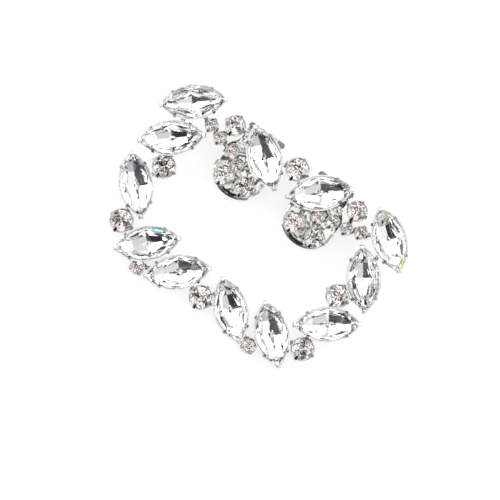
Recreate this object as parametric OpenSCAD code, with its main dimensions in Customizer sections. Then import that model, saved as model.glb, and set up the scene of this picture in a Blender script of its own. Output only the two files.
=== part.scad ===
// Shoe buckle: foil-backed crystals in claw cups, soldered to a bent wire in the
// form of an open buckle, with two sprung clips behind it that grip the shoe's edge.
// The ornament is drawn face up in the XY plane, X along its length, and is then
// turned to the small tilt at which it lies on a table, on its clips and lower row.

/* [Navette stones] */
// Length of a navette stone, tip to tip
navette_l = 13; // [11:0.1:16]
// Width of a navette stone
navette_w = 6.5; // [5:0.1:8]
// Height of a navette's table above its girdle
navette_crown = 1.2; // [0.6:0.1:2]
// Depth of a navette's point below its girdle
navette_depth = 2.2; // [1.4:0.1:3.2]

/* [Round stones] */
// Diameter of the large round stones around the buckle
large_d = 4.2; // [3.4:0.1:5.4]
// Diameter of the medium round stones over the clips
medium_d = 3.6; // [2.8:0.1:4.6]
// Diameter of the accent stones at the lower edge
accent_d = 2.5; // [2:0.1:3.2]
// Diameter of the small round stones between the others
small_d = 2.1; // [1.6:0.1:2.8]
// Thickness of every stone's girdle
girdle_t = 0.15; // [0.05:0.05:0.4]

/* [Claw cups] */
// Thickness of a cup's floor
floor_t = 0.6; // [0.55:0.05:1]
// Thickness of a cup's wall
cup_wall = 0.3; // [0.2:0.05:0.5]
// Gap between a stone and the metal round it
seat_gap = 0.08; // [0.04:0.01:0.15]
// Thickness of a claw
claw_t = 0.3; // [0.2:0.05:0.5]
// How far a claw stands out from its cup's wall
claw_proud = 0.1; // [0.05:0.01:0.3]
// Width of a claw on a round stone
round_claw_w = 0.6; // [0.4:0.05:1]
// Width of a claw on a navette's long side
side_claw_w = 0.7; // [0.4:0.05:1.2]
// Width of the blunt guard at a navette's tip
tip_guard_w = 1.2; // [0.8:0.1:2]
// How far a claw reaches in over its stone
claw_reach = 0.55; // [0.3:0.05:0.7]

/* [Wire] */
// Diameter of the wire that joins the cups
wire_d = 0.9; // [0.6:0.05:1]
// Diameter of the solder at the wire's joints
solder_d = 1.1; // [1.02:0.02:1.18]
// How far a cup's floor is sunk into what it is soldered to
solder_sink = 0.15; // [0.1:0.05:0.3]

/* [Clips] */
// Radius of a clip's round pad
pad_r = 6; // [5:0.1:7]
// Width of the pad between its two flat sides
pad_w = 11; // [9.6:0.1:12]
// Thickness of the pad
pad_t = 0.6; // [0.5:0.05:1]
// How far the pad's back stands proud of the strip that goes up to the hinge
pad_step = 0.1; // [0.05:0.05:0.2]
// Distance from the pad's centre to the hinge
hinge_reach = 8.35; // [7.5:0.05:10]
// Width of the strip and of the hinge
strip_w = 8; // [6.5:0.1:9.5]
// Length of each ear of the hinge
ear_w = 1.5; // [1:0.1:2.2]
// Outer diameter of the hinge's ears and knuckle
knuckle_d = 1.2; // [1.1:0.05:1.8]
// Diameter of the hinge pin
pin_d = 0.6; // [0.4:0.05:0.75]
// Diameter of the pin's two heads
pin_head_d = 0.9; // [0.8:0.05:1.1]
// Thickness of the pin's two heads
pin_head_t = 0.25; // [0.15:0.05:0.5]
// Gap round the pin
pin_gap = 0.05; // [0.02:0.01:0.08]
// Gap beside the lever's knuckle and over it
knuckle_gap = 0.25; // [0.15:0.05:0.4]
// Width of the lever
lever_w = 8.6; // [6:0.1:10]
// Thickness of the lever
lever_t = 0.6; // [0.4:0.05:1]
// How far the lever's lip shows past the pad
lip_w = 0.45; // [0.2:0.05:1]
// Depth of the jaw between the pad and the lever
jaw = 3.4; // [2.5:0.1:5]

/* [Hidden] */
// Columns: name, X as a share of half the length, Y as a share of half the height,
// turn in degrees of a navette's long axis
NAVETTES = [
    ["navette_01", -0.817,  0.768,  40],
    ["navette_02", -0.797,  0.345,  40],
    ["navette_03", -0.810, -0.250, -46],
    ["navette_04", -0.520, -0.670,  44],
    ["navette_05", -0.240, -0.730,  42],
    ["navette_06",  0.200, -0.730, -40],
    ["navette_07",  0.520, -0.690, -43],
    ["navette_08",  0.787, -0.285,  36],
    ["navette_09",  0.810,  0.300, -53],
    ["navette_10",  0.800,  0.776, -38],
    ["navette_11",  0.233,  0.756,  42],
    ["navette_12", -0.207,  0.725, -38]
];
// Columns: name, X and Y shares as above, diameter
ROUNDS = [
    ["round_top",             0.020,  0.820, large_d],
    ["round_left",           -0.727,  0.065, large_d],
    ["round_right",           0.733,  0.010, large_d],
    ["round_low_left",       -0.750, -0.630, large_d],
    ["round_low_right",       0.747, -0.630, large_d],
    ["round_low",            -0.013, -0.800, large_d],
    ["accent_left",          -0.483, -0.918, accent_d],
    ["accent_right",          0.440, -0.918, accent_d],
    ["cluster_left_large",   -0.493,  0.820, medium_d],
    ["cluster_left_1",       -0.627,  0.685, small_d],
    ["cluster_left_2",       -0.530,  0.630, small_d],
    ["cluster_left_3",       -0.410,  0.575, small_d],
    ["cluster_left_4",       -0.330,  0.495, small_d],
    ["clip_left_outer",      -0.363,  0.340, medium_d],
    ["clip_left_inner",      -0.203,  0.360, medium_d],
    ["cluster_right_large",   0.510,  0.825, medium_d],
    ["cluster_right_1",       0.617,  0.670, small_d],
    ["cluster_right_2",       0.520,  0.620, small_d],
    ["cluster_right_3",       0.417,  0.595, small_d],
    ["cluster_right_4",       0.320,  0.550, small_d],
    ["clip_right_outer",      0.383,  0.355, medium_d],
    ["clip_right_inner",      0.207,  0.360, medium_d]
];
// The wire's closed run from cup to cup
WIRE_RUN = [
    "cluster_left_3", "cluster_left_2", "cluster_left_1", "navette_01", "navette_02",
    "round_left", "navette_03", "round_low_left", "navette_04", "accent_left",
    "navette_05", "round_low", "navette_06", "accent_right", "navette_07",
    "round_low_right", "navette_08", "round_right", "navette_09", "navette_10",
    "cluster_right_1", "cluster_right_2", "cluster_right_3", "navette_11",
    "round_top", "navette_12", "cluster_left_3"
];
// The wire's short branches
WIRE_BRANCHES = [
    ["cluster_left_2", "cluster_left_large"],
    ["cluster_right_2", "cluster_right_large"]
];
// Columns: name, X share of the clip's middle
CLIPS = [
    ["left",  -0.283],
    ["right",  0.292]
];
// Y share of the pads' centres
CLIP_Y = 0.515;

// A cup's outer size for a stone of a given size
function over_cup(stone) = stone + 2 * (seat_gap + cup_wall);
// The layout is as long as it takes for its cups to stand side by side. Each factor
// says how many cups of one kind, laid end to end, are as long as the buckle.
layout_l = max(
    4.36 * over_cup(navette_l), 8.25 * over_cup(navette_w), 12.1 * over_cup(large_d),
    13.7 * over_cup(medium_d), 18.4 * over_cup(accent_d), 20.9 * over_cup(small_d)
);
layout_h = layout_l * 2 / 3;

// Cut of the stones, as shares of the stone's own size
ROUND_CROWN = 0.20;
ROUND_DEPTH = 0.42;
ROUND_TABLE = 0.58;
ROUND_WAIST = 0.52;
NAVETTE_TABLE_L = 0.78;
NAVETTE_TABLE_W = 0.74;
NAVETTE_WAIST_L = 0.60;
NAVETTE_WAIST_W = 0.50;
WAIST_DEPTH = 0.60;
ROUND_MAINS = 8;
NAVETTE_MAINS = 12;
// Place of a navette's side claws along its half length
SIDE_CLAW_AT = 0.60;

// Where each stone's girdle lies over the ornament's plane
seat_z = floor_t + seat_gap;
navette_z = seat_z + navette_depth;
function round_z(d) = seat_z + d * ROUND_DEPTH;
pocket_top = max(navette_z + navette_crown, round_z(large_d) + large_d * ROUND_CROWN) + 1;

// A navette's outline is the overlap of two circles of this radius, set this far
// to either side of its long axis
arc_r = (navette_l * navette_l + navette_w * navette_w) / (4 * navette_w);
arc_off = arc_r - navette_w / 2;
function tip_at(grow) = sqrt(pow(arc_r + grow, 2) - pow(arc_off, 2));

// The clips, in the ornament's own frame
clip_y = CLIP_Y * layout_h / 2;
hinge_y = clip_y + hinge_reach;
hinge_z = -solder_sink - knuckle_gap - knuckle_d / 2;
strip_t = pad_t - pad_step;
lever_knuckle_w = strip_w - 2 * (ear_w + knuckle_gap);
lever_r = pad_r + lip_w;
// The lever is an arch: its back is an arc over the hinge and the lip
arch_chord = hinge_reach + lever_r;
arch_y = hinge_y - arch_chord / 2;
arch_low = -pad_t - jaw - lever_t;
arch_end = hinge_z - knuckle_d / 4;
arch_rise = arch_end - arch_low;
arch_r = (pow(arch_chord / 2, 2) + pow(arch_rise, 2)) / (2 * arch_rise);
arch_z = arch_low + arch_r;

// At rest the buckle lies on both levers' backs and on the solder under its two
// accent stones. The floor is the line below both circles.
foot_y = find("accent_left")[1];
foot_r = solder_d / 2;
span_y = arch_y - foot_y;
span = sqrt(pow(span_y, 2) + pow(arch_z, 2));
floor_slope = atan2(arch_z, span_y) - asin((arch_r - foot_r) / span);
rest_tilt = -floor_slope;
rest_lift = foot_r - foot_y * sin(rest_tilt);

metal = [0.78, 0.79, 0.80];
crystal = [0.90, 0.93, 0.97];
$fn = 48;

function spot(row) = [row[1] * layout_l / 2, row[2] * layout_h / 2, 0];
function find(name) = [for (s = concat(NAVETTES, ROUNDS)) if (s[0] == name) spot(s)][0];

// Points of a navette outline of length l and width w: two arcs, tip to tip
function navette_outline(l, w, points) =
    let (r = (l * l + w * w) / (4 * w), off = r - w / 2, start = acos(l / 2 / r), half = points / 2)
    [for (side = [0, 1], i = [0 : half - 1])
        let (a = start + i * (180 - 2 * start) / half, flip = 1 - 2 * side)
        flip * [r * cos(a), r * sin(a) - off]];

function round_outline(d, points) =
    [for (i = [0 : points - 1]) d / 2 * [cos(i * 360 / points), sin(i * 360 / points)]];

function at_height(outline, z) = [for (p = outline) [p[0], p[1], z]];

// A cut stone with its girdle's lower edge at height 0. The table and the waist
// have one corner for each main facet, the girdle has two.
module cut_stone(girdle, table, waist, crown, depth) {
    mains = len(table);
    edge = 2 * mains;
    points = concat(
        at_height(girdle, 0), at_height(girdle, girdle_t), at_height(table, girdle_t + crown),
        at_height(waist, -depth * WAIST_DEPTH), [[0, 0, -depth]]
    );
    function low(j) = j % edge;
    function high(j) = edge + j % edge;
    function top(k) = 2 * edge + k % mains;
    function mid(k) = 2 * edge + mains + k % mains;
    culet = 2 * edge + 2 * mains;
    faces = concat(
        [[for (k = [mains - 1 : -1 : 0]) top(k)]],
        [for (j = [0 : edge - 1]) [low(j), high(j), high(j + 1)]],
        [for (j = [0 : edge - 1]) [low(j), high(j + 1), low(j + 1)]],
        [for (k = [0 : mains - 1]) [top(k), high(2 * k + 1), high(2 * k)]],
        [for (k = [0 : mains - 1]) [top(k), top(k + 1), high(2 * k + 1)]],
        [for (k = [0 : mains - 1]) [top(k + 1), high(2 * k + 2), high(2 * k + 1)]],
        [for (k = [0 : mains - 1]) [mid(k), low(2 * k), low(2 * k + 1)]],
        [for (k = [0 : mains - 1]) [mid(k), low(2 * k + 1), mid(k + 1)]],
        [for (k = [0 : mains - 1]) [mid(k + 1), low(2 * k + 1), low(2 * k + 2)]],
        [for (k = [0 : mains - 1]) [culet, mid(k), mid(k + 1)]]
    );
    polyhedron(points, faces);
}

module navette_stone() {
    translate([0, 0, navette_z])
        cut_stone(
            navette_outline(navette_l, navette_w, 2 * NAVETTE_MAINS),
            navette_outline(navette_l * NAVETTE_TABLE_L, navette_w * NAVETTE_TABLE_W, NAVETTE_MAINS),
            navette_outline(navette_l * NAVETTE_WAIST_L, navette_w * NAVETTE_WAIST_W, NAVETTE_MAINS),
            navette_crown, navette_depth
        );
}

module round_stone(d) {
    translate([0, 0, round_z(d)])
        cut_stone(
            round_outline(d, 2 * ROUND_MAINS), round_outline(d * ROUND_TABLE, ROUND_MAINS),
            round_outline(d * ROUND_WAIST, ROUND_MAINS), d * ROUND_CROWN, d * ROUND_DEPTH
        );
}

// The plan of a navette's cup or pocket, grown outwards from the stone
module navette_plan(grow) {
    intersection() {
        translate([0, -arc_off]) circle(r = arc_r + grow);
        translate([0, arc_off]) circle(r = arc_r + grow);
    }
}

module navette_cup_body() {
    translate([0, 0, -solder_sink])
        linear_extrude(solder_sink + navette_z + girdle_t)
            navette_plan(seat_gap + cup_wall);
}

module navette_pocket() {
    translate([0, 0, floor_t])
        linear_extrude(pocket_top - floor_t)
            navette_plan(seat_gap);
}

module round_cup_body(d) {
    translate([0, 0, -solder_sink])
        cylinder(d = over_cup(d), h = solder_sink + round_z(d) + girdle_t);
}

module round_pocket(d) {
    translate([0, 0, floor_t])
        cylinder(d = d + 2 * seat_gap, h = pocket_top - floor_t);
}

// A claw at distance seat from the origin along X: a leg outside the cup's wall,
// folded in over the crown, whose slope it follows
module claw(seat, rim_z, slope, width) {
    back = seat + cup_wall + claw_proud;
    hold = seat + seat_gap;
    tip = seat - claw_reach;
    tip_z = rim_z + slope * (claw_reach + seat_gap / 2);
    rotate([90, 0, 0])
        translate([0, 0, -width / 2])
            linear_extrude(width)
                polygon([
                    [hold, -solder_sink / 2], [back, -solder_sink / 2],
                    [back, rim_z + claw_t / 2], [seat, rim_z + claw_t * 1.5],
                    [tip, tip_z + claw_t * 0.8], [tip, tip_z],
                    [hold, rim_z - slope * seat_gap / 2]
                ]);
}

module navette_claws() {
    rim_z = navette_z + girdle_t;
    side_slope = navette_crown / (navette_w * (1 - NAVETTE_TABLE_W) / 2);
    tip_slope = navette_crown / (navette_l * (1 - NAVETTE_TABLE_L) / 2);
    reach_at = acos(SIDE_CLAW_AT * navette_l / 2 / arc_r);
    for (side = [0, 180], a = [reach_at, 180 - reach_at])
        rotate(side)
            translate([0, -arc_off, 0])
                rotate(a)
                    claw(arc_r + seat_gap, rim_z, side_slope, side_claw_w);
    for (side = [0, 180])
        rotate(side)
            claw(tip_at(seat_gap), rim_z, tip_slope, tip_guard_w);
}

module round_claws(d) {
    for (a = [0 : 90 : 270])
        rotate(a)
            claw(d / 2 + seat_gap, round_z(d) + girdle_t,
                ROUND_CROWN / ((1 - ROUND_TABLE) / 2), round_claw_w);
}

// A straight run of wire between the solder under two cups, in which its ends lie
module wire_link(from, to) {
    run = to - from;
    inset = sqrt(solder_d * solder_d - wire_d * wire_d) / 4;
    translate(from)
        rotate([0, 90, atan2(run[1], run[0])])
            translate([0, 0, inset])
                cylinder(d = wire_d, h = norm(run) - 2 * inset);
}

module wire() {
    for (i = [0 : len(WIRE_RUN) - 2]) {
        wire_link(find(WIRE_RUN[i]), find(WIRE_RUN[i + 1]));
        translate(find(WIRE_RUN[i])) sphere(d = solder_d);
    }
    for (b = WIRE_BRANCHES) {
        wire_link(find(b[0]), find(b[1]));
        translate(find(b[1])) sphere(d = solder_d);
    }
}

// A length of round bar along X, centred on the hinge
module hinge_bar(d, w) {
    translate([-w / 2, hinge_y, hinge_z]) rotate([0, 90, 0]) cylinder(d = d, h = w);
}

// The pad behind the cups, its strip up to the hinge and the hinge's two ears
module clip_base() {
    ear_x = (strip_w - ear_w) / 2;
    difference() {
        union() {
            translate([0, clip_y, -pad_t])
                linear_extrude(pad_t)
                    intersection() {
                        circle(r = pad_r);
                        square([pad_w, 2 * pad_r + 1], center = true);
                    }
            translate([0, 0, -strip_t])
                linear_extrude(strip_t)
                    union() {
                        translate([-strip_w / 2, clip_y])
                            square([strip_w, hinge_reach - knuckle_d / 2 - knuckle_gap]);
                        for (x = [-ear_x, ear_x])
                            translate([x - ear_w / 2, clip_y])
                                square([ear_w, hinge_reach + knuckle_d * 0.4]);
                    }
            for (x = [-ear_x, ear_x])
                translate([x, 0, 0]) {
                    hinge_bar(knuckle_d, ear_w);
                    translate([-ear_w / 2, hinge_y - knuckle_d * 0.4, hinge_z])
                        cube([ear_w, knuckle_d * 0.8, -hinge_z - strip_t / 2]);
                }
        }
        hinge_bar(pin_d + 2 * pin_gap, strip_w + 2);
    }
}

// All the metal of the ornament is soldered into one piece
module setting_frame() {
    color(metal)
        union() {
            difference() {
                union() {
                    for (s = NAVETTES) translate(spot(s)) rotate(s[3]) navette_cup_body();
                    for (s = ROUNDS) translate(spot(s)) round_cup_body(s[3]);
                    wire();
                    for (c = CLIPS) translate([c[1] * layout_l / 2, 0, 0]) clip_base();
                }
                for (s = NAVETTES) translate(spot(s)) rotate(s[3]) navette_pocket();
                for (s = ROUNDS) translate(spot(s)) round_pocket(s[3]);
            }
            for (s = NAVETTES) translate(spot(s)) rotate(s[3]) navette_claws();
            for (s = ROUNDS) translate(spot(s)) round_claws(s[3]);
        }
}

// The arched lever, from its knuckle on the pin to its lip below the pad
module clip_lever() {
    color(metal)
        difference() {
            union() {
                intersection() {
                    translate([0, 0, arch_low - 1])
                        linear_extrude(arch_r)
                            union() {
                                translate([0, clip_y])
                                    intersection() {
                                        circle(r = lever_r);
                                        square([lever_w, 2 * lever_r + 1], center = true);
                                    }
                                translate([-lever_knuckle_w / 2, clip_y])
                                    square([lever_knuckle_w, hinge_reach]);
                            }
                    translate([-lever_w, arch_y, arch_z])
                        rotate([0, 90, 0])
                            difference() {
                                cylinder(r = arch_r, h = 2 * lever_w, $fn = 96);
                                translate([0, 0, -1])
                                    cylinder(r = arch_r - lever_t, h = 2 * lever_w + 2, $fn = 96);
                            }
                }
                hinge_bar(knuckle_d, lever_knuckle_w);
            }
            hinge_bar(pin_d + 2 * pin_gap, strip_w);
        }
}

// The pin through ears and knuckle, with a flat head at each end
module hinge_pin() {
    head_x = strip_w / 2 + pin_gap + pin_head_t / 2;
    color(metal)
        union() {
            hinge_bar(pin_d, strip_w + 2 * pin_gap + pin_head_t);
            for (x = [-head_x, head_x]) translate([x, 0, 0]) hinge_bar(pin_head_d, pin_head_t);
        }
}

// Turns the ornament to its tilt at rest, with its lowest points at height 0
module at_rest() {
    translate([0, 0, rest_lift]) rotate([rest_tilt, 0, 0]) children();
}

at_rest() setting_frame();
for (s = NAVETTES)
    at_rest() translate(spot(s)) rotate(s[3]) color(crystal) navette_stone();
for (s = ROUNDS)
    at_rest() translate(spot(s)) color(crystal) round_stone(s[3]);
for (c = CLIPS)
    at_rest() translate([c[1] * layout_l / 2, 0, 0]) clip_lever();
for (c = CLIPS)
    at_rest() translate([c[1] * layout_l / 2, 0, 0]) hinge_pin();
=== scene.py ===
"""Shoe buckle: foil-backed crystals in claw cups on a bent wire, with two sprung clips.

Pieces are modelled in millimetres about the origin, in the ornament's own plane, and
then placed in metres where the part lies on the table.
"""
import math

import bpy
from mathutils import Matrix, Vector


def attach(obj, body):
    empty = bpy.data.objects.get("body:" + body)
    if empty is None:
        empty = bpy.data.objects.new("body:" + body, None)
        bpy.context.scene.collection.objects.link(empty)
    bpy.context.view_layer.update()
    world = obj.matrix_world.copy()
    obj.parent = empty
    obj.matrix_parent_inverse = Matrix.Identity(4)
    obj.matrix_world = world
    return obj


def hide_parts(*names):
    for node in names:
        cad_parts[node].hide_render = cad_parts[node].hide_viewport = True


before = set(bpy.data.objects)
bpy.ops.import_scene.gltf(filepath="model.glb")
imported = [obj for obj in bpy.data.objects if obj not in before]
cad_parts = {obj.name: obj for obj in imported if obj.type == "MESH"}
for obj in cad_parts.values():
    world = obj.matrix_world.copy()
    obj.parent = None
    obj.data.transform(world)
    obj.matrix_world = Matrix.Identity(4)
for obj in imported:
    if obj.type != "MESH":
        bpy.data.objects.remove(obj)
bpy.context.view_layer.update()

# ---------------------------------------------------------------- sizes
# Lengths are in mm and angles in degrees, in the ornament's plane, whose Z is 0 where the cups stand
MM = 0.001
# How the plane lies at rest, and half of the layout's sides
REST_TILT = math.radians(7.96003)
REST_LIFT = 3.09321
HALF_LENGTH, HALF_HEIGHT = 30.008, 20.00535
AT_REST = Matrix.Scale(MM, 4) @ Matrix.Translation((0, 0, REST_LIFT)) @ Matrix.Rotation(REST_TILT, 4, "X")

SEAT_Z = 0.68
GIRDLE = 0.15
NAVETTE_LENGTH, NAVETTE_WIDTH = 13.0, 6.5
NAVETTE_CROWN, NAVETTE_DEPTH = 1.15, 2.2
NAVETTE_Z = SEAT_Z + NAVETTE_DEPTH
# A navette's plan is the overlap of two circles: their radius, and how far each centre lies from the middle
SIDE_ARC = (NAVETTE_LENGTH**2 + NAVETTE_WIDTH**2) / (4 * NAVETTE_WIDTH)
ARC_OFFSET = SIDE_ARC - NAVETTE_WIDTH / 2
# Slopes of its facets from level, how many follow each side, and how far in from the outline they start
CROWN_SLOPE, BREAK_SLOPE, TIP_SLOPE = 57, 56, 50
SIDE_FACETS, SIDE_IN, TIP_IN = 5, 0.03, 0.25
# A round stone's sizes as shares of its diameter
ROUND_DEPTH, ROUND_CROWN, ROUND_GIRDLE, ROUND_TABLE = 0.42, 0.20, 0.035, 0.58
ROUND_SLOPE = math.degrees(math.atan2(ROUND_CROWN, 0.5 - ROUND_TABLE / 2))

CUP_WALL, SEAT_GAP, CUP_FLOOR = 0.30, 0.08, 0.60
# The wall is pressed in against the girdle, so that hardly any gap shows
PRESSED_GAP = 0.02
# The lip falls inwards to the stone
LIP_FALL = 0.08
# The rounded foot of a cup: the share of its width kept at first, then each drop and the share kept there
FOOT_NARROW = 0.96
FOOT_STEPS = [(0.07, 0.985), (0.08, 0.955)]
CLAW_FOOT = -0.075
# The place of a navette's claws, as a share of its half length
CLAW_SHARE = 0.60

WIRE_D, SOLDER_D, SOLDER_SPREAD = 0.9, 1.1, 1.7
WIRE_GRAIN = 0.11

CLIP_Y, HINGE_Y, HINGE_Z = 10.3027, 18.6527, -1.0
PAD_R, PAD_W, PAD_T, PAD_STEP = 6.0, 11.0, 0.6, 0.1
# The pad's rolled edge: how far in and how far up it goes
PAD_ROLL = [(0.28, 0.20), (0.38, 0.12)]
STRIP_W, EAR_W, KNUCKLE_D, BORE_D = 8.0, 1.5, 1.2, 0.7
HINGE_GAP = 0.25
GROOVES, GROOVE_Y, GROOVE_PITCH, GROOVE_W, GROOVE_DEPTH = 5, 12.7, 0.60, 0.28, 0.15

# ---------------------------------------------------------------- layout
# name: x and y as shares of the halves, turn
NAVETTES = {
    "navette_01": (-0.817, 0.768, 40), "navette_02": (-0.797, 0.345, 40),
    "navette_03": (-0.810, -0.250, -46), "navette_04": (-0.520, -0.670, 44),
    "navette_05": (-0.240, -0.730, 42), "navette_06": (0.200, -0.730, -40),
    "navette_07": (0.520, -0.690, -43), "navette_08": (0.787, -0.285, 36),
    "navette_09": (0.810, 0.300, -53), "navette_10": (0.800, 0.776, -38),
    "navette_11": (0.233, 0.756, 42), "navette_12": (-0.207, 0.725, -38),
}
# Hand cutting differs: which share of the side's turn the four mains face, and how far
# their point is shifted along the stone. Then the cut that each navette has
NAVETTE_CUTS = [(0.50, 0.0), (0.40, 0.35), (0.60, -0.25)]
NAVETTE_ORDER = [2, 0, 1, 0, 1, 0, 1, 1, 2, 0, 1, 1]
# Crown facets with a painted glint, a flash of coloured light split by the glass, or, where grey, a painted
# shade: stone, x and y, colour
FLASHES = [
    ("navette_04", -16.2, -10.5, (0.14, 0.60, 1.0)), ("navette_10", 28.8, 13.0, (1.0, 0.90, 0.20)),
    ("navette_11", 12.0, 18.6, (1.0, 0.78, 0.58)), ("navette_01", -22.6, 18.0, (0.62, 0.68, 0.95)),
    ("navette_01", -27.4, 14.6, (0.62, 0.66, 0.80)), ("navette_12", -8.4, 18.4, (0.45, 0.45, 0.46)),
    ("navette_12", -6.4, 17.8, (0.50, 0.50, 0.51)), ("navette_11", 8.0, 18.5, (0.42, 0.42, 0.43)),
    ("navette_11", 9.9, 19.0, (0.42, 0.42, 0.43)), ("navette_07", 14.0, -10.0, (0.45, 0.45, 0.46)),
    ("navette_07", 16.4, -10.8, (0.45, 0.45, 0.46)), ("navette_03", -25.2, -1.2, (0.50, 0.50, 0.51)),
    ("navette_04", -17.8, -11.4, (0.50, 0.50, 0.51)), ("navette_08", 23.6, -2.8, (0.52, 0.52, 0.53)),
    ("navette_02", -19.6, 8.6, (0.90, 0.90, 0.68)), ("navette_09", 21.6, 10.6, (0.96, 0.96, 0.76)),
]
# name: x and y as shares of the halves, diameter
ROUNDS = {
    "round_top": (0.020, 0.820, 4.2), "round_left": (-0.727, 0.065, 4.2),
    "round_right": (0.733, 0.010, 4.2), "round_low_left": (-0.750, -0.630, 4.2),
    "round_low_right": (0.747, -0.630, 4.2), "round_low": (-0.013, -0.800, 4.2),
    "accent_left": (-0.483, -0.918, 2.5), "accent_right": (0.440, -0.918, 2.5),
    "cluster_left_large": (-0.493, 0.820, 3.6), "cluster_left_1": (-0.627, 0.685, 2.1),
    "cluster_left_2": (-0.530, 0.630, 2.1), "cluster_left_3": (-0.410, 0.575, 2.1),
    "cluster_left_4": (-0.330, 0.495, 2.1), "clip_left_outer": (-0.363, 0.340, 3.6),
    "clip_left_inner": (-0.203, 0.360, 3.6), "cluster_right_large": (0.510, 0.825, 3.6),
    "cluster_right_1": (0.617, 0.670, 2.1), "cluster_right_2": (0.520, 0.620, 2.1),
    "cluster_right_3": (0.417, 0.595, 2.1), "cluster_right_4": (0.320, 0.550, 2.1),
    "clip_right_outer": (0.383, 0.355, 3.6), "clip_right_inner": (0.207, 0.360, 3.6),
}
# The accent stones' claws stand between their neighbours
ACCENT_D = 2.5
# The wire's way from cup to cup, and its two branches
WIRE_RUN = [
    "cluster_left_3", "cluster_left_2", "cluster_left_1", "navette_01", "navette_02", "round_left",
    "navette_03", "round_low_left", "navette_04", "accent_left", "navette_05", "round_low",
    "navette_06", "accent_right", "navette_07", "round_low_right", "navette_08", "round_right",
    "navette_09", "navette_10", "cluster_right_1", "cluster_right_2", "cluster_right_3",
    "navette_11", "round_top", "navette_12", "cluster_left_3",
]
WIRE_BRANCHES = [("cluster_left_2", "cluster_left_large"), ("cluster_right_2", "cluster_right_large")]
# side: x as a share of the half
CLIPS = {"left": -0.283, "right": 0.292}


# ---------------------------------------------------------------- modelling helpers
def pick(*objs):
    """Selects only these objects, the first one active."""
    if bpy.context.object and bpy.context.object.mode != "OBJECT":
        bpy.ops.object.mode_set(mode="OBJECT")
    bpy.ops.object.select_all(action="DESELECT")
    for obj in objs:
        obj.select_set(True)
    bpy.context.view_layer.objects.active = objs[0]


def made(name):
    """The active object, such as a primitive just added, under its own name."""
    obj = bpy.context.object
    obj.name = obj.data.name = name
    return obj


def settle(*objs):
    """Puts the objects' place, turn and scale into their meshes."""
    pick(*objs)
    bpy.ops.object.transform_apply(location=True, rotation=True, scale=True)


def modify(obj, kind, **settings):
    """Adds a modifier and applies it."""
    pick(obj)
    mod = obj.modifiers.new(kind.title(), kind)
    for key, value in settings.items():
        setattr(mod, key, value)
    bpy.ops.object.modifier_apply(modifier=mod.name)


def combine(base, tools, operation):
    """Joins, overlaps or cuts the base with each tool, and removes the tools."""
    for tool in tools:
        modify(base, "BOOLEAN", operation=operation, object=tool, solver="EXACT")
        bpy.data.objects.remove(tool)
    return base


def copies(proto, matrices):
    """One copy of a prototype for each matrix, each with its own mesh, and the prototype removed."""
    out = []
    for matrix in matrices:
        obj = proto.copy()
        obj.data = proto.data.copy()
        bpy.context.collection.objects.link(obj)
        obj.data.transform(matrix)
        out.append(obj)
    bpy.data.objects.remove(proto)
    return out


def joined(objs, name):
    """The objects as one, under a new name."""
    pick(*objs)
    if len(objs) > 1:
        bpy.ops.object.join()
    return made(name)


def select_faces(obj, wanted):
    """In edit mode, selects the faces for which wanted(normal) holds."""
    bpy.ops.mesh.select_all(action="DESELECT")
    bpy.ops.object.mode_set(mode="OBJECT")
    for face in obj.data.polygons:
        face.select = wanted(face.normal)
    bpy.ops.object.mode_set(mode="EDIT")
    bpy.ops.mesh.select_mode(type="FACE")


def facing_up(normal):
    return normal.z > 0.9


def facing_down(normal):
    return normal.z < -0.9


def soften(obj, width=0.05, angle=32, segments=2):
    """Small rounded edges and smooth shading between them."""
    modify(obj, "BEVEL", width=width, segments=segments, limit_method="ANGLE",
           angle_limit=math.radians(angle))
    pick(obj)
    bpy.ops.object.shade_smooth_by_angle(angle=math.radians(50))


def cut_facets(planes):
    """Cuts the mesh in edit mode by each plane (point, outward normal), closing each cut."""
    for point, normal in planes:
        bpy.ops.mesh.select_all(action="SELECT")
        bpy.ops.mesh.bisect(plane_co=point, plane_no=normal, use_fill=True, clear_outer=True, threshold=1e-5)


def outwards(across, slope, down=False):
    """The normal of a facet that faces a level direction at a slope from level, up or down."""
    s = math.radians(slope)
    return across * math.sin(s) + Vector((0, 0, (-1 if down else 1) * math.cos(s)))


def facet(azimuth, slope, radius, z, down=False):
    """A facet's plane on a round stone: the point at that azimuth, radius and height, and its normal."""
    a, s = math.radians(azimuth), math.radians(slope)
    lean = -1 if down else 1
    return (radius * math.cos(a), radius * math.sin(a), z), (
        math.sin(s) * math.cos(a), math.sin(s) * math.sin(a), lean * math.cos(s))


def turn_z(degrees):
    return Matrix.Rotation(math.radians(degrees), 4, "Z")


def spot(name):
    """A stone's place in the ornament's plane."""
    x, y = (NAVETTES.get(name) or ROUNDS[name])[:2]
    return Vector((x * HALF_LENGTH, y * HALF_HEIGHT, 0))


def lay_down(obj):
    """Moves a piece from the ornament's plane in mm to where it lies at rest in metres."""
    obj.data.transform(AT_REST)
    obj.data.materials.clear()
    return obj


def finish_piece(piece, body, stands_for):
    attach(piece, body)
    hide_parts(stands_for)


# ---------------------------------------------------------------- material helpers
# Sockets of a colour Mix node, which have the same names as its other sockets
MIX_SHARE, MIX_A, MIX_B, MIX_COLOUR = 0, 6, 7, 2


def new_material(name):
    mat = bpy.data.materials.new(name)
    mat.use_nodes = True
    return mat, mat.node_tree, mat.node_tree.nodes["Principled BSDF"]


def node(tree, kind, settings=(), links=()):
    """A node with its settings, and links into its inputs, which are named or numbered."""
    made_node = tree.nodes.new("ShaderNode" + kind)
    for key, value in dict(settings).items():
        if isinstance(key, int) or key in made_node.inputs:
            made_node.inputs[key].default_value = value
        else:
            setattr(made_node, key, value)
    for key, source in dict(links).items():
        tree.links.new(source, made_node.inputs[key])
    return made_node


def noise(tree, place, scale, detail, roughness=0.5):
    """A noise over a place."""
    settings = {"Scale": scale, "Detail": detail, "Roughness": roughness}
    return node(tree, "TexNoise", settings, {"Vector": place}).outputs["Fac"]


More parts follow.
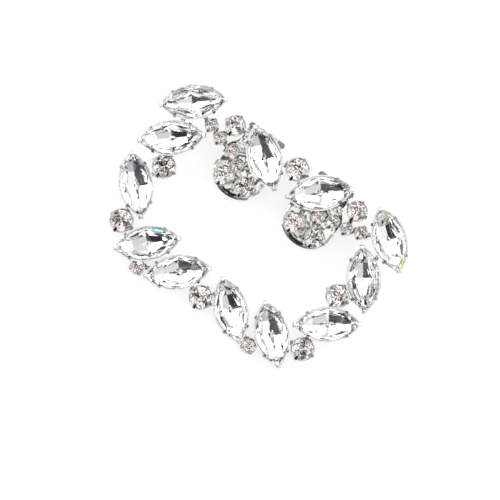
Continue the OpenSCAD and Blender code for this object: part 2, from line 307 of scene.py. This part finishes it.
def stretch(tree, value, low, high, to_low=0.0, to_high=1.0):
    """A value's range from low to high, spread over another range and held at its ends."""
    settings = {"From Min": low, "From Max": high, "To Min": to_low, "To Max": to_high}
    return node(tree, "MapRange", settings, {"Value": value}).outputs["Result"]


def scaled(tree, place, factors):
    """A place with each of its coordinates scaled."""
    return node(tree, "VectorMath", {"operation": "MULTIPLY", 1: factors}, {0: place}).outputs["Vector"]


def product(tree, first, second):
    return node(tree, "Math", {"operation": "MULTIPLY"}, {0: first, 1: second}).outputs["Value"]


def bump(tree, height, strength, distance, over=None):
    """A normal from a height, over another normal if one is given. The distance is in metres."""
    links = {"Height": height}
    if over:
        links["Normal"] = over
    return node(tree, "Bump", {"Strength": strength, "Distance": distance}, links).outputs["Normal"]


def ramp(tree, source, stops):
    """A colour ramp over a value, from (position, colour) stops."""
    made_node = node(tree, "ValToRGB", links={0: source})
    elements = made_node.color_ramp.elements
    while len(elements) < len(stops):
        elements.new(0.5)
    for element, (position, colour) in zip(elements, stops):
        element.position = position
        element.color = (*colour, 1)
    return made_node.outputs["Color"]


def mix_colours(tree, share, first, second):
    """The colour between two, by a share. Each is a plain colour or a socket."""
    mix = node(tree, "Mix", {"data_type": "RGBA"}, {MIX_SHARE: share})
    for place, colour in ((MIX_A, first), (MIX_B, second)):
        if isinstance(colour, tuple):
            mix.inputs[place].default_value = (*colour, 1)
        else:
            tree.links.new(colour, mix.inputs[place])
    return mix.outputs[MIX_COLOUR]


def group(name, inputs, outputs, build):
    """A shader node group. Inputs are (name, kind, value) and outputs (name, kind)."""
    tree = bpy.data.node_groups.new(name, "ShaderNodeTree")
    for label, kind, value in inputs:
        tree.interface.new_socket(label, in_out="INPUT", socket_type=kind).default_value = value
    for label, kind in outputs:
        tree.interface.new_socket(label, in_out="OUTPUT", socket_type=kind)
    start, end = tree.nodes.new("NodeGroupInput"), tree.nodes.new("NodeGroupOutput")
    for label, source in build(tree, start.outputs).items():
        tree.links.new(source, end.inputs[label])
    return tree


# ---------------------------------------------------------------- materials
def handling_marks(tree, given):
    """Fine scratches both ways, a cloudy bloom and worn edges, from the object's own coordinates."""
    place = node(tree, "TexCoord").outputs["Object"]
    along = noise(tree, scaled(tree, place, (9000, 1400, 5000)), 1.0, 3.0, 0.6)
    across = noise(tree, scaled(tree, place, (1600, 9500, 5000)), 1.0, 3.0, 0.6)
    cloud = noise(tree, place, 420.0, 4.0, 0.55)
    both = node(tree, "Math", {"operation": "ADD"}, {0: along, 1: across}).outputs["Value"]
    return {
        "Scratches": product(tree, stretch(tree, both, 0.75, 1.35), given["Scratches"]),
        "Bloom": product(tree, stretch(tree, cloud, 0.35, 0.68), given["Bloom"]),
        "Edge": stretch(tree, node(tree, "NewGeometry").outputs["Pointiness"], 0.52, 0.60),
    }


MARKS = group(
    "handling_marks", [("Scratches", "NodeSocketFloat", 1.0), ("Bloom", "NodeSocketFloat", 1.0)],
    [(label, "NodeSocketFloat") for label in ("Scratches", "Bloom", "Edge")], handling_marks)


def glass_material(name, tint):
    """Clear cut glass: a tint that changes faintly between facets, times painted glints and painted shade on
    some facets, and a polisher's waves too small to blur.
    """
    mat, tree, shader = new_material(name)
    tone = node(tree, "Attribute", {"attribute_name": "facet_tone"}).outputs["Fac"]
    # painted glints and painted shade, set facet by facet
    painted_fire_and_shade = node(tree, "Attribute", {"attribute_name": "painted_fire_and_shade"}).outputs["Color"]
    colour = ramp(tree, tone, [(0.0, tint), (0.5, (1, 1, 1)), (1.0, (0.985, 0.99, 1))])
    seen = node(tree, "VectorMath", {"operation": "MULTIPLY"}, {0: colour, 1: painted_fire_and_shade})
    tree.links.new(seen.outputs["Vector"], shader.inputs["Base Color"])
    waves = noise(tree, node(tree, "TexCoord").outputs["Object"], 700.0, 1.0)
    tree.links.new(bump(tree, waves, 0.03, 0.00001), shader.inputs["Normal"])
    shader.inputs["Roughness"].default_value = 0.0
    shader.inputs["IOR"].default_value = 1.54
    shader.inputs["Transmission Weight"].default_value = 1.0
    return mat


def foil_material(name, tints_and_painted_reflections, stripe, pale):
    """Mirror foil behind a stone: a tone for each facet, on round stones mostly painted reflections, and lines
    drawn along the stone.

    The lines darken it by the stripe, and the strongest are as rough as pale.
    """
    mat, tree, shader = new_material(name)
    tone = node(tree, "Attribute", {"attribute_name": "facet_tone"}).outputs["Fac"]
    plan = node(tree, "UVMap", {"uv_map": "plan"}).outputs["UV"]
    lines = noise(tree, scaled(tree, plan, (1.3, 34, 1)), 1.0, 3.0, 0.7)
    shade = stretch(tree, lines, 0.35, 0.65, 1 - stripe, 1.0)
    dimmed = node(tree, "VectorMath", {"operation": "SCALE"}, {0: ramp(tree, tone, tints_and_painted_reflections), "Scale": shade})
    tree.links.new(dimmed.outputs["Vector"], shader.inputs["Base Color"])
    tree.links.new(bump(tree, lines, 0.10, 0.00003), shader.inputs["Normal"])
    tree.links.new(stretch(tree, lines, 0.60, 0.68, 0.02, pale), shader.inputs["Roughness"])
    shader.inputs["Metallic"].default_value = 1.0
    return mat


def metal_material(name, colour, dull, rough, bloom, cast=0.0):
    """Plated metal: dull where it bloomed, brighter on worn edges, scratched, and as uneven as cast says."""
    mat, tree, shader = new_material(name)
    marks = tree.nodes.new("ShaderNodeGroup")
    marks.node_tree = MARKS
    marks.inputs["Scratches"].default_value = 0.6
    marks.inputs["Bloom"].default_value = bloom
    bloomed = mix_colours(tree, marks.outputs["Bloom"], colour, dull)
    rubbed = tuple(0.85 * c + 0.12 for c in colour)
    tree.links.new(mix_colours(tree, marks.outputs["Edge"], bloomed, rubbed), shader.inputs["Base Color"])
    dulled = node(tree, "Math", {"operation": "MULTIPLY_ADD", 1: 0.16, 2: rough}, {0: marks.outputs["Bloom"]})
    scratched = node(tree, "Math", {"operation": "MULTIPLY_ADD", 1: 0.10},
                     {0: marks.outputs["Scratches"], 2: dulled.outputs["Value"]})
    tree.links.new(scratched.outputs["Value"], shader.inputs["Roughness"])
    uneven = noise(tree, node(tree, "TexCoord").outputs["Object"], 620.0, 1.0)
    scratches = bump(tree, marks.outputs["Scratches"], 0.10, 0.00002)
    tree.links.new(bump(tree, uneven, cast, 0.0003, scratches), shader.inputs["Normal"])
    shader.inputs["Metallic"].default_value = 1.0
    return mat


GLASS = glass_material("crystal_glass", (0.985, 0.985, 0.99))
NAVETTE_FOIL = foil_material("navette_foil", [
    (0.0, (0.92, 0.92, 0.935)), (0.6, (0.97, 0.97, 0.97)), (1.0, (0.95, 0.945, 0.94)),
], 0.08, 0.40)
# A round stone's foil has white facets and dark, rosy and grey ones that are painted reflections, with hardly
# any change between two stops
ROUND_FOIL_PAINTED_REFLECTIONS = foil_material("round_foil_painted_reflections", [
    (0.0, (0.12, 0.12, 0.12)), (0.14, (0.22, 0.21, 0.21)),
    (0.16, (0.92, 0.79, 0.77)), (0.36, (0.94, 0.84, 0.82)),
    (0.40, (0.96, 0.96, 0.95)), (0.78, (0.96, 0.96, 0.95)),
    (0.82, (0.50, 0.50, 0.51)), (1.0, (0.74, 0.74, 0.75)),
], 0.04, 0.05)
PLATE = metal_material("silver_plate", (0.70, 0.70, 0.69), (0.56, 0.57, 0.55), 0.32, 0.8)
# The cups: the same plate painted darker, as painted shade, and polished smoother
CUP_PLATE_SHADED = metal_material("cup_plate_painted_shade", (0.44, 0.44, 0.43), (0.33, 0.33, 0.32), 0.03, 0.4, 0.25)
# The claws: the same plate painted near black, a painted reflection of the dark studio
PRONG_PAINTED_DARK = metal_material("claw_plate_painted_reflection", (0.33, 0.33, 0.32), (0.20, 0.20, 0.195), 0.08, 0.8)
SOLDER = metal_material("solder", (0.56, 0.57, 0.56), (0.40, 0.41, 0.40), 0.24, 1.0)
# The pads: the same plate painted darker and greenish, as a painted reflection, and unevenly cast
PAD_PLATE_SHADED = metal_material("pad_plate_painted_reflection", (0.40, 0.41, 0.39), (0.29, 0.30, 0.285), 0.06, 0.7, 0.95)
PRESSED = metal_material("pressed_plate", (0.50, 0.51, 0.49), (0.36, 0.37, 0.35), 0.14, 1.0, 0.25)
# The hinge's end: coloured near black, far darker than the pad it is formed with
HINGE_NEAR_BLACK = metal_material("hinge_near_black", (0.085, 0.085, 0.082), (0.04, 0.04, 0.04), 0.22, 1.0)
# The claw cups' material slots, whose numbers the parts carry in their "slot" attribute
CUP_SLOTS = [PLATE, PRONG_PAINTED_DARK, CUP_PLATE_SHADED]
PLATE_SLOT, PRONG_SLOT, CUP_SLOT = range(3)

# ---------------------------------------------------------------- stones
# Facets whose normal rises less than this have foil behind them
FOIL_BELOW = 0.2
# Each facet's tone is this far on from the last one's, so that neighbours differ. Each stone's place in
# the foil's lines, and each round stone's turn, is this far on from the last stone's
TONE_STEP, LINES_STEP, TURN_STEP = 0.618, 1.37, 137.5
# The place of a flash is this far above the girdle, and only facets smaller than a table take one
FLASH_HEIGHT, FLASH_AREA = 0.8, 6 * MM**2


def mark_stone(obj, length, foil):
    """Glass in front and foil behind, flat facets, the plan of the stone as its UV map, and for each facet a
    tone and no painted glint or shade yet."""
    mesh = obj.data
    mesh.materials.append(GLASS)
    mesh.materials.append(foil)
    for face in mesh.polygons:
        face.use_smooth = False
        face.material_index = 1 if face.normal.z < FOIL_BELOW else 0
    mesh.uv_layers.new(name="plan")
    for corner, loop in zip(mesh.uv_layers["plan"].data, mesh.loops):
        v = mesh.vertices[loop.vertex_index].co
        corner.uv = (v.x / length + 0.5, v.y / length + 0.5)
    mesh.attributes.new("facet_tone", "FLOAT", "FACE")
    ordered = sorted(mesh.polygons, key=lambda f: (round(f.normal.z, 1), math.atan2(f.center.y, f.center.x)))
    for k, face in enumerate(ordered):
        mesh.attributes["facet_tone"].data[face.index].value = (k * TONE_STEP) % 1.0
    mesh.attributes.new("painted_fire_and_shade", "FLOAT_COLOR", "FACE")
    for painted_fire_and_shade in mesh.attributes["painted_fire_and_shade"].data:
        painted_fire_and_shade.color = (1, 1, 1, 1)


def vary(stone, step):
    """Gives a copied stone its own run of facet tones and its own place in the foil's lines."""
    for tone in stone.data.attributes["facet_tone"].data:
        tone.value = (tone.value + step * TONE_STEP) % 1.0
    for corner in stone.data.uv_layers["plan"].data:
        corner.uv.y += step * LINES_STEP


def flash(stone, x, y, colour):
    """Paints the crown facet nearest to a place in the ornament: a painted glint of light split by the glass,
    or a painted shade where the colour is grey.
    """
    place = AT_REST @ Vector((x, y, NAVETTE_Z + FLASH_HEIGHT))
    crown = [f for f in stone.data.polygons if f.material_index == 0 and f.area < FLASH_AREA]
    nearest = min(crown, key=lambda f: (f.center - place).length)
    stone.data.attributes["painted_fire_and_shade"].data[nearest.index].color = (*colour, 1)


def set_in_place(proto, name, x, y, turn, size, z):
    """A copy of a prototype with its own mesh, placed in the ornament and moved to where it lies at rest."""
    obj = proto.copy()
    obj.data = proto.data.copy()
    obj.name = obj.data.name = name
    bpy.context.collection.objects.link(obj)
    at = Matrix.Translation((x * HALF_LENGTH, y * HALF_HEIGHT, z))
    obj.matrix_world = AT_REST @ at @ turn_z(turn) @ Matrix.Scale(size, 4)
    settle(obj)
    return obj


def navette_blank(name, grow, bottom, top):
    """A navette's plan, grown outwards, from bottom to top: the overlap of two round blanks."""
    blanks = []
    for side in (-1, 1):
        bpy.ops.mesh.primitive_cylinder_add(vertices=96, radius=SIDE_ARC + grow, depth=top - bottom,
                                            location=(0, side * ARC_OFFSET, (top + bottom) / 2))
        blanks.append(made(name))
    combine(blanks[0], blanks[1:], "INTERSECT")
    settle(blanks[0])
    return blanks[0]


def navette_stone(share, shift):
    """A navette with a large table, a crown border, and behind it four main facets with a break round them.

    The mains face out at this share of the side's turn, and meet at a point shifted along.
    """
    stone = navette_blank("navette_blank", 0, -NAVETTE_DEPTH, GIRDLE + NAVETTE_CROWN)
    bpy.ops.object.mode_set(mode="EDIT")
    planes = []
    girdle_top = Vector((0, 0, GIRDLE))
    reach = math.degrees(math.asin(NAVETTE_LENGTH / 2 / SIDE_ARC))
    for side in (-1, 1):
        centre = Vector((0, -side * ARC_OFFSET, 0))
        for k in range(SIDE_FACETS):
            # the outermost facets stop a little short of the tips
            t = math.radians((k - (SIDE_FACETS - 1) / 2) / (SIDE_FACETS / 2 - 0.1) * reach)
            out = Vector((math.sin(t), side * math.cos(t), 0))
            edge = centre + out * SIDE_ARC - out * SIDE_IN
            planes.append((edge + girdle_top, outwards(out, CROWN_SLOPE)))
            planes.append((edge, outwards(out, BREAK_SLOPE, down=True)))
    for end in (-1, 1):
        tip = Vector((end * (NAVETTE_LENGTH / 2 - TIP_IN), 0, 0))
        planes.append((tip + girdle_top, outwards(Vector((end, 0, 0)), TIP_SLOPE)))
    t = math.radians(reach * share)
    main_slope = math.degrees(math.atan2(NAVETTE_DEPTH, SIDE_ARC - ARC_OFFSET * math.cos(t)))
    for end in (-1, 1):
        for side in (-1, 1):
            out = Vector((end * math.sin(t), side * math.cos(t), 0))
            planes.append((Vector((shift, 0, -NAVETTE_DEPTH)), outwards(out, main_slope, down=True)))
    cut_facets(planes)
    bpy.ops.object.mode_set(mode="OBJECT")
    mark_stone(stone, NAVETTE_LENGTH, NAVETTE_FOIL)
    return stone


def round_stone():
    """A round stone one millimetre across: table, stars, crown mains, upper girdle facets and pavilion."""
    top, point = ROUND_GIRDLE + ROUND_CROWN, -ROUND_DEPTH
    bpy.ops.mesh.primitive_cylinder_add(vertices=48, radius=0.5, depth=top - point,
                                        location=(0, 0, (top + point) / 2))
    stone = made("round_blank")
    settle(stone)
    bpy.ops.object.mode_set(mode="EDIT")
    planes = []
    for k in range(8):
        on, between = 45 * k, 45 * k + 22.5
        planes += [
            facet(between, ROUND_SLOPE, 0.5, ROUND_GIRDLE),             # crown main
            facet(on, 27, ROUND_TABLE / 2 + 0.015, top),                # star
            facet(on, 36, 0, point + 0.025 + 0.008 * (k % 2), True),    # pavilion main, in two depths
            facet(between, 42, 0.06, point + 0.045, True),              # lower half
            facet(between, 28, 0, point + 0.040, True),                 # facet at the point
        ]
    for k in range(16):
        azimuth = 22.5 * k + 11.25
        planes.append(facet(azimuth, ROUND_SLOPE + 6, 0.495, ROUND_GIRDLE))
        planes.append(facet(azimuth, 47, 0.495, 0, True))
    cut_facets(planes)
    bpy.ops.object.mode_set(mode="OBJECT")
    mark_stone(stone, 1.0, ROUND_FOIL_PAINTED_REFLECTIONS)
    return stone


def stones():
    navettes, brilliant = [navette_stone(*cut) for cut in NAVETTE_CUTS], round_stone()
    for k, (name, (x, y, turn)) in enumerate(NAVETTES.items()):
        piece = set_in_place(navettes[NAVETTE_ORDER[k]], "stone_" + name, x, y, turn, 1, NAVETTE_Z)
        vary(piece, k)
        for stone, flash_x, flash_y, colour in FLASHES:
            if stone == name:
                flash(piece, flash_x, flash_y, colour)
        finish_piece(piece, "buckle", name)
    for k, (name, (x, y, size)) in enumerate(ROUNDS.items()):
        girdle_z = SEAT_Z + ROUND_DEPTH * size
        piece = set_in_place(brilliant, "stone_" + name, x, y, TURN_STEP * k, size, girdle_z)
        vary(piece, k)
        finish_piece(piece, "buckle", name)
    for proto in navettes + [brilliant]:
        bpy.data.objects.remove(proto)


# ---------------------------------------------------------------- cups and wire
def tag(obj, slot):
    """Marks a part's faces with the material slot that they take in the finished piece."""
    obj.data.attributes.new("slot", "INT", "FACE")
    for face in obj.data.attributes["slot"].data:
        face.value = slot


def hollow(cup, rim_z, flat):
    """Rounds the foot of a cup's blank and presses the pocket into it from above. The rim is flat outside,
    and then falls inwards to the stone."""
    settle(cup)
    bpy.ops.object.mode_set(mode="EDIT")
    select_faces(cup, facing_down)
    bpy.ops.transform.resize(value=(FOOT_NARROW, FOOT_NARROW, 1), center_override=(0, 0, 0))
    for drop, narrow in FOOT_STEPS:
        bpy.ops.mesh.extrude_region_move(TRANSFORM_OT_translate={"value": (0, 0, -drop)})
        bpy.ops.transform.resize(value=(narrow, narrow, 1), center_override=(0, 0, 0))
    select_faces(cup, facing_up)
    bpy.ops.mesh.inset(thickness=flat)
    bpy.ops.mesh.inset(thickness=CUP_WALL + SEAT_GAP - PRESSED_GAP - flat, depth=-LIP_FALL)
    bpy.ops.mesh.extrude_region_move(TRANSFORM_OT_translate={"value": (0, 0, CUP_FLOOR - rim_z + LIP_FALL)})
    bpy.ops.object.mode_set(mode="OBJECT")


def claw(seat, rim_z, slope, width, tip_width, reach, proud=0.0, slot=PRONG_SLOT):
    """A claw at distance seat along X: a leg up the outside of the cup's wall, folded in over the stone,
    which rises by the slope, and drawn to a rounded tip. A proud claw is thicker, outwards."""
    thick = 0.28 + proud
    at_x, at_z = seat + CUP_WALL + 0.10 + proud - thick / 2, rim_z - 0.25
    bpy.ops.mesh.primitive_cube_add(size=1, location=(at_x, 0, (CLAW_FOOT + at_z) / 2))
    piece = made("claw")
    piece.scale = (thick, width, at_z - CLAW_FOOT)
    settle(piece)
    bpy.ops.object.mode_set(mode="EDIT")
    select_faces(piece, facing_up)
    rise = math.hypot(1, slope)
    fold, laid = math.atan2(0.10, 0.39), math.atan2(1, slope)
    bend, half_way = seat - reach * 0.65, (tip_width + width) / 2
    # each step: x and z of the section's middle, its lean, its thickness, its width
    steps = [
        (seat + 0.16 + proud / 2, rim_z + 0.14, fold, thick * 0.95, width * 0.97),
        (seat - 0.05, rim_z + slope * 0.10 + 0.16 * rise, laid, 0.25, width * 0.88),
        (bend, rim_z + slope * (reach * 0.65 + 0.03) + 0.11 * rise, laid, 0.20, half_way),
        (seat - reach, rim_z + slope * (reach + 0.02) + 0.07 * rise, laid, 0.13, tip_width),
    ]
    lean, deep, wide = 0.0, thick, width
    for to_x, to_z, to_lean, to_deep, to_wide in steps:
        middle = (to_x, 0, to_z)
        bpy.ops.mesh.extrude_region_move(TRANSFORM_OT_translate={"value": (to_x - at_x, 0, to_z - at_z)})
        bpy.ops.transform.rotate(value=to_lean - lean, orient_axis="Y", center_override=middle)
        thin, narrow = to_deep / deep, to_wide / wide
        bpy.ops.transform.resize(value=(thin, narrow, thin), center_override=middle)
        at_x, at_z, lean, deep, wide = to_x, to_z, to_lean, to_deep, to_wide
    bpy.ops.object.mode_set(mode="OBJECT")
    modify(piece, "BEVEL", width=0.09, segments=3, limit_method="ANGLE", angle_limit=math.radians(45))
    pick(piece)
    bpy.ops.object.shade_smooth_by_angle(angle=math.radians(60))
    tag(piece, slot)
    return piece


def round_cup(size):
    """A round stone's cup with its four claws."""
    rim_z = SEAT_Z + size * ROUND_DEPTH + GIRDLE
    bpy.ops.mesh.primitive_cylinder_add(vertices=48, radius=size / 2 + SEAT_GAP + CUP_WALL, depth=rim_z,
                                        location=(0, 0, rim_z / 2))
    cup = made("round_cup")
    hollow(cup, rim_z, flat=0.10)
    soften(cup, width=0.03)
    tag(cup, CUP_SLOT)
    prong = claw(size / 2 + SEAT_GAP, rim_z, ROUND_CROWN / ((1 - ROUND_TABLE) / 2), 0.64, 0.28, 0.14 * size,
                 proud=0.16 if size > 3 else 0.12)
    first = 45 if size == ACCENT_D else 0
    return joined([cup] + copies(prong, [turn_z(first + a) for a in (0, 90, 180, 270)]), "round_cup")


def navette_cup():
    """A navette's cup with two claws on each long side and a blunt guard at each tip."""
    rim_z = NAVETTE_Z + GIRDLE
    cup = navette_blank("navette_cup", SEAT_GAP + CUP_WALL, 0, rim_z)
    bpy.ops.object.mode_set(mode="EDIT")
    bpy.ops.mesh.select_all(action="SELECT")
    bpy.ops.mesh.remove_doubles(threshold=0.25)
    hollow(cup, rim_z, flat=0.12)
    soften(cup)
    azimuth = math.degrees(math.acos(CLAW_SHARE * NAVETTE_LENGTH / 2 / SIDE_ARC))
    side = claw(SIDE_ARC + SEAT_GAP, rim_z, 1.42, 0.62, 0.26, 0.42)
    parts = [cup] + copies(side, [turn_z(half) @ Matrix.Translation((0, -ARC_OFFSET, 0)) @ turn_z(a)
                                  for half in (0, 180) for a in (azimuth, 180 - azimuth)])
    tip_seat = math.sqrt((SIDE_ARC + SEAT_GAP) ** 2 - ARC_OFFSET**2)
    guard = claw(tip_seat, rim_z, 0.84, 0.95, 0.55, 0.45, slot=PLATE_SLOT)
    return joined(parts + copies(guard, [turn_z(0), turn_z(180)]), "navette_cup")


def cups():
    places = [Matrix.Translation(spot(n)) @ turn_z(row[2]) for n, row in NAVETTES.items()]
    pieces = copies(navette_cup(), places)
    for size in sorted({row[2] for row in ROUNDS.values()}):
        places = [Matrix.Translation(spot(n)) for n, row in ROUNDS.items() if row[2] == size]
        pieces += copies(round_cup(size), places)
    piece = lay_down(joined(pieces, "claw_cups"))
    for mat in CUP_SLOTS:
        piece.data.materials.append(mat)
    for face, slot in zip(piece.data.polygons, piece.data.attributes["slot"].data):
        face.material_index = slot.value
    finish_piece(piece, "buckle", "setting_frame")


def wire():
    """Round wire from cup to cup with a pool of solder at each, run together into one skin."""
    parts = []
    for a, b in list(zip(WIRE_RUN, WIRE_RUN[1:])) + WIRE_BRANCHES:
        start, end = spot(a), spot(b)
        run = end - start
        bpy.ops.mesh.primitive_cylinder_add(
            vertices=20, radius=WIRE_D / 2, depth=run.length, location=(start + end) / 2,
            rotation=(0, math.pi / 2, math.atan2(run.y, run.x)))
        parts.append(made("wire_link"))
    for name in sorted(set(WIRE_RUN) | {b for _, b in WIRE_BRANCHES}):
        bpy.ops.mesh.primitive_uv_sphere_add(
            segments=24, ring_count=16, radius=SOLDER_D / 2, location=spot(name))
        pool = made("solder")
        pool.scale = (SOLDER_SPREAD, SOLDER_SPREAD, 1.0)
        parts.append(pool)
    settle(*parts)
    piece = joined(parts, "wire_frame")
    modify(piece, "REMESH", mode="VOXEL", voxel_size=WIRE_GRAIN)
    modify(piece, "SMOOTH", factor=0.5, iterations=4)
    pick(piece)
    bpy.ops.object.shade_smooth()
    lay_down(piece)
    piece.data.materials.append(SOLDER)
    finish_piece(piece, "buckle", "setting_frame")


# ---------------------------------------------------------------- clips
def block(x0, x1, y0, y1, z0, z1, name):
    """A block between these sides."""
    bpy.ops.mesh.primitive_cube_add(size=1, location=((x0 + x1) / 2, (y0 + y1) / 2, (z0 + z1) / 2))
    obj = made(name)
    obj.scale = (x1 - x0, y1 - y0, z1 - z0)
    settle(obj)
    return obj


def bar(x0, x1, diameter, name):
    """A length of round bar on the hinge's line."""
    bpy.ops.mesh.primitive_cylinder_add(
        vertices=32, radius=diameter / 2, depth=x1 - x0,
        location=((x0 + x1) / 2, HINGE_Y, HINGE_Z), rotation=(0, math.pi / 2, 0))
    obj = made(name)
    settle(obj)
    return obj


def clip_base(side):
    """The pad behind the cups, with its rolled edge, its strip and the hinge's two ears."""
    roll = sum(up for _, up in PAD_ROLL)
    bpy.ops.mesh.primitive_cylinder_add(vertices=96, radius=PAD_R, depth=PAD_T - roll,
                                        location=(0, CLIP_Y, -(PAD_T + roll) / 2))
    pad = made("pad")
    settle(pad)
    bpy.ops.object.mode_set(mode="EDIT")
    cut_facets([((s * PAD_W / 2, 0, 0), (s, 0, 0)) for s in (-1, 1)])
    select_faces(pad, facing_up)
    for inwards, up in PAD_ROLL:
        bpy.ops.mesh.inset(thickness=inwards, depth=up)
    bpy.ops.object.mode_set(mode="OBJECT")
    half = STRIP_W / 2
    strip_end = HINGE_Y - KNUCKLE_D / 2 - HINGE_GAP
    parts = [block(-half, half, CLIP_Y, strip_end, PAD_STEP - PAD_T, 0, "strip")]
    for s in (-1, 1):
        a, b = sorted((s * half, s * (half - EAR_W)))
        parts.append(block(a, b, strip_end - 0.5, HINGE_Y + KNUCKLE_D * 0.4, HINGE_Z, 0, "ear"))
        parts.append(bar(a, b, KNUCKLE_D, "ear"))
    combine(pad, parts, "UNION")
    # the pin's bore, and grooves pressed across the strip
    cuts = [bar(-half - 1, half + 1, BORE_D, "bore")]
    for k in range(GROOVES):
        y = GROOVE_Y + GROOVE_PITCH * k
        cuts.append(block(-half - 0.3, half + 0.3, y, y + GROOVE_W, -GROOVE_DEPTH, 0.3, "groove"))
    combine(pad, cuts, "DIFFERENCE")
    soften(pad, width=0.07, segments=3)
    pad.data.transform(Matrix.Translation((CLIPS[side] * HALF_LENGTH, 0, 0)))
    pad.name = pad.data.name = "clip_pad_" + side
    # the hinge's end is coloured near black, far darker than the pad it is formed with
    hinge = [f.index for f in pad.data.polygons if f.center.y > HINGE_Y - 0.75]
    lay_down(pad)
    pad.data.materials.append(PAD_PLATE_SHADED)
    pad.data.materials.append(HINGE_NEAR_BLACK)
    for k in hinge:
        pad.data.polygons[k].material_index = 1
    finish_piece(pad, "buckle", "setting_frame")


def dressed(stands_for, name, body, width):
    """A copy of a CAD node, with its loose triangles merged, its edges rounded and smooth curves."""
    obj = bpy.data.objects.new(name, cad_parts[stands_for].data.copy())
    obj.data.name = name
    bpy.context.collection.objects.link(obj)
    obj.data.transform(Matrix.Scale(1 / MM, 4))
    pick(obj)
    bpy.ops.object.mode_set(mode="EDIT")
    bpy.ops.mesh.select_all(action="SELECT")
    bpy.ops.mesh.remove_doubles(threshold=0.002)
    bpy.ops.mesh.dissolve_limited(angle_limit=math.radians(1))
    bpy.ops.object.mode_set(mode="OBJECT")
    soften(obj, width=width, angle=40, segments=3)
    obj.data.transform(Matrix.Scale(MM, 4))
    obj.data.materials.clear()
    obj.data.materials.append(PRESSED)
    finish_piece(obj, body, stands_for)


# ---------------------------------------------------------------- stage, light, camera
# Soft patches of the studio: azimuth, elevation, inner and outer radius, colour
STUDIO = [
    (270, 28, 30, 40, (0.03, 0.03, 0.035)),
    (350, 25, 12, 34, (0.78, 0.78, 0.82)),
    (92, 25, 10, 35, (1.20, 1.20, 1.20)),
    (30, 62, 7, 12, (0.10, 0.09, 0.09)),
    (110, 58, 8, 13, (0.85, 0.66, 0.63)),
    (165, 64, 7, 12, (0.12, 0.11, 0.11)),
    (225, 58, 8, 13, (0.80, 0.76, 0.74)),
    (285, 66, 7, 12, (0.10, 0.09, 0.10)),
    (335, 56, 8, 13, (0.80, 0.62, 0.62)),
    (0, 90, 6, 10, (0.12, 0.12, 0.12)),
]
# The studio's light from the horizon upwards, by the height of the view
HORIZON = [(0.0, (0.50, 0.50, 0.50)), (0.10, (0.55, 0.55, 0.55)), (0.24, (2.2, 2.2, 2.2))]

# The picture: how the buckle is turned in it, how much of the plane is across it, the camera's
# distance, the height that it is aimed at, and the shift of its middle to the right and down
PICTURE_TURN, PICTURE_WIDTH, CAMERA_DISTANCE, AIM_Z = 35.35, 100.95, 500.0, 3.6
SHIFT_RIGHT, SHIFT_DOWN = 0.351, 3.238


def stage():
    bpy.ops.object.select_all(action="DESELECT")
    bpy.ops.mesh.primitive_plane_add(size=6, location=(0, 0, 0))
    floor = made("floor")
    mat, _, shader = new_material("pale_table")
    shader.inputs["Base Color"].default_value = (0.25, 0.25, 0.25, 1)
    shader.inputs["Roughness"].default_value = 0.6
    shader.inputs["Emission Color"].default_value = (1, 1, 1, 1)
    shader.inputs["Emission Strength"].default_value = 0.76
    floor.data.materials.append(mat)


def ornament_direction(azimuth, elevation):
    a, e = math.radians(azimuth), math.radians(elevation)
    v = Vector((math.cos(e) * math.cos(a), math.cos(e) * math.sin(a), math.sin(e)))
    return Matrix.Rotation(REST_TILT, 3, "X") @ v


def light():
    """A studio all round: bright above, dim along the horizon, with darker and coloured patches. The camera
    sees it white."""
    world = bpy.data.worlds.new("studio")
    bpy.context.scene.world = world
    world.use_nodes = True
    tree = world.node_tree
    tree.nodes.clear()
    view = node(tree, "TexCoord").outputs["Generated"]
    colour = ramp(tree, node(tree, "SeparateXYZ", links={0: view}).outputs["Z"], HORIZON)
    for azimuth, elevation, inner, outer, shade in STUDIO:
        aim = ornament_direction(azimuth, elevation)
        towards = node(tree, "VectorMath", {"operation": "DOT_PRODUCT", 1: aim}, {0: view})
        share = node(tree, "MapRange", {
            "interpolation_type": "SMOOTHSTEP", "From Min": math.cos(math.radians(outer)),
            "From Max": math.cos(math.radians(inner))}, {"Value": towards.outputs["Value"]})
        colour = mix_colours(tree, share.outputs["Result"], colour, shade)
    lit = node(tree, "Background", links={"Color": colour})
    seen = node(tree, "Background", {"Color": (1, 1, 1, 1)})
    to_camera = node(tree, "LightPath").outputs["Is Camera Ray"]
    both = node(tree, "MixShader", links={0: to_camera, 1: lit.outputs[0], 2: seen.outputs[0]})
    out = node(tree, "OutputWorld", links={"Surface": both.outputs[0]})
    out.is_active_output = True


def camera():
    """Face on to the ornament's plane, turned as in the photograph."""
    turn = math.radians(PICTURE_TURN)
    tilt = Matrix.Rotation(REST_TILT, 3, "X")
    right = tilt @ Vector((math.cos(turn), math.sin(turn), 0))
    up = tilt @ Vector((-math.sin(turn), math.cos(turn), 0))
    back = tilt @ Vector((0, 0, 1))
    aim = Vector((0, 0, REST_LIFT)) + back * AIM_Z + right * SHIFT_RIGHT - up * SHIFT_DOWN
    cam = bpy.data.cameras.new("camera")
    cam.sensor_width = 36
    cam.lens = cam.sensor_width * CAMERA_DISTANCE / PICTURE_WIDTH
    cam.clip_start, cam.clip_end = 0.01, 10
    obj = bpy.data.objects.new("camera", cam)
    bpy.context.collection.objects.link(obj)
    axes = Matrix((right, up, back)).transposed().to_4x4()
    obj.matrix_world = Matrix.Translation((aim + back * CAMERA_DISTANCE) * MM) @ axes
    bpy.context.scene.camera = obj


stones()
cups()
wire()
for side in CLIPS:
    clip_base(side)
    dressed("clip_lever_" + side, "lever_" + side, "lever_" + side, 0.12)
    dressed("hinge_pin_" + side, "pin_" + side, "buckle", 0.05)

stage()
light()
camera()
scene = bpy.context.scene
scene.view_settings.view_transform = "Standard"
scene.cycles.glossy_bounces = 10
scene.cycles.transmission_bounces = 12
scene.cycles.max_bounces = 14
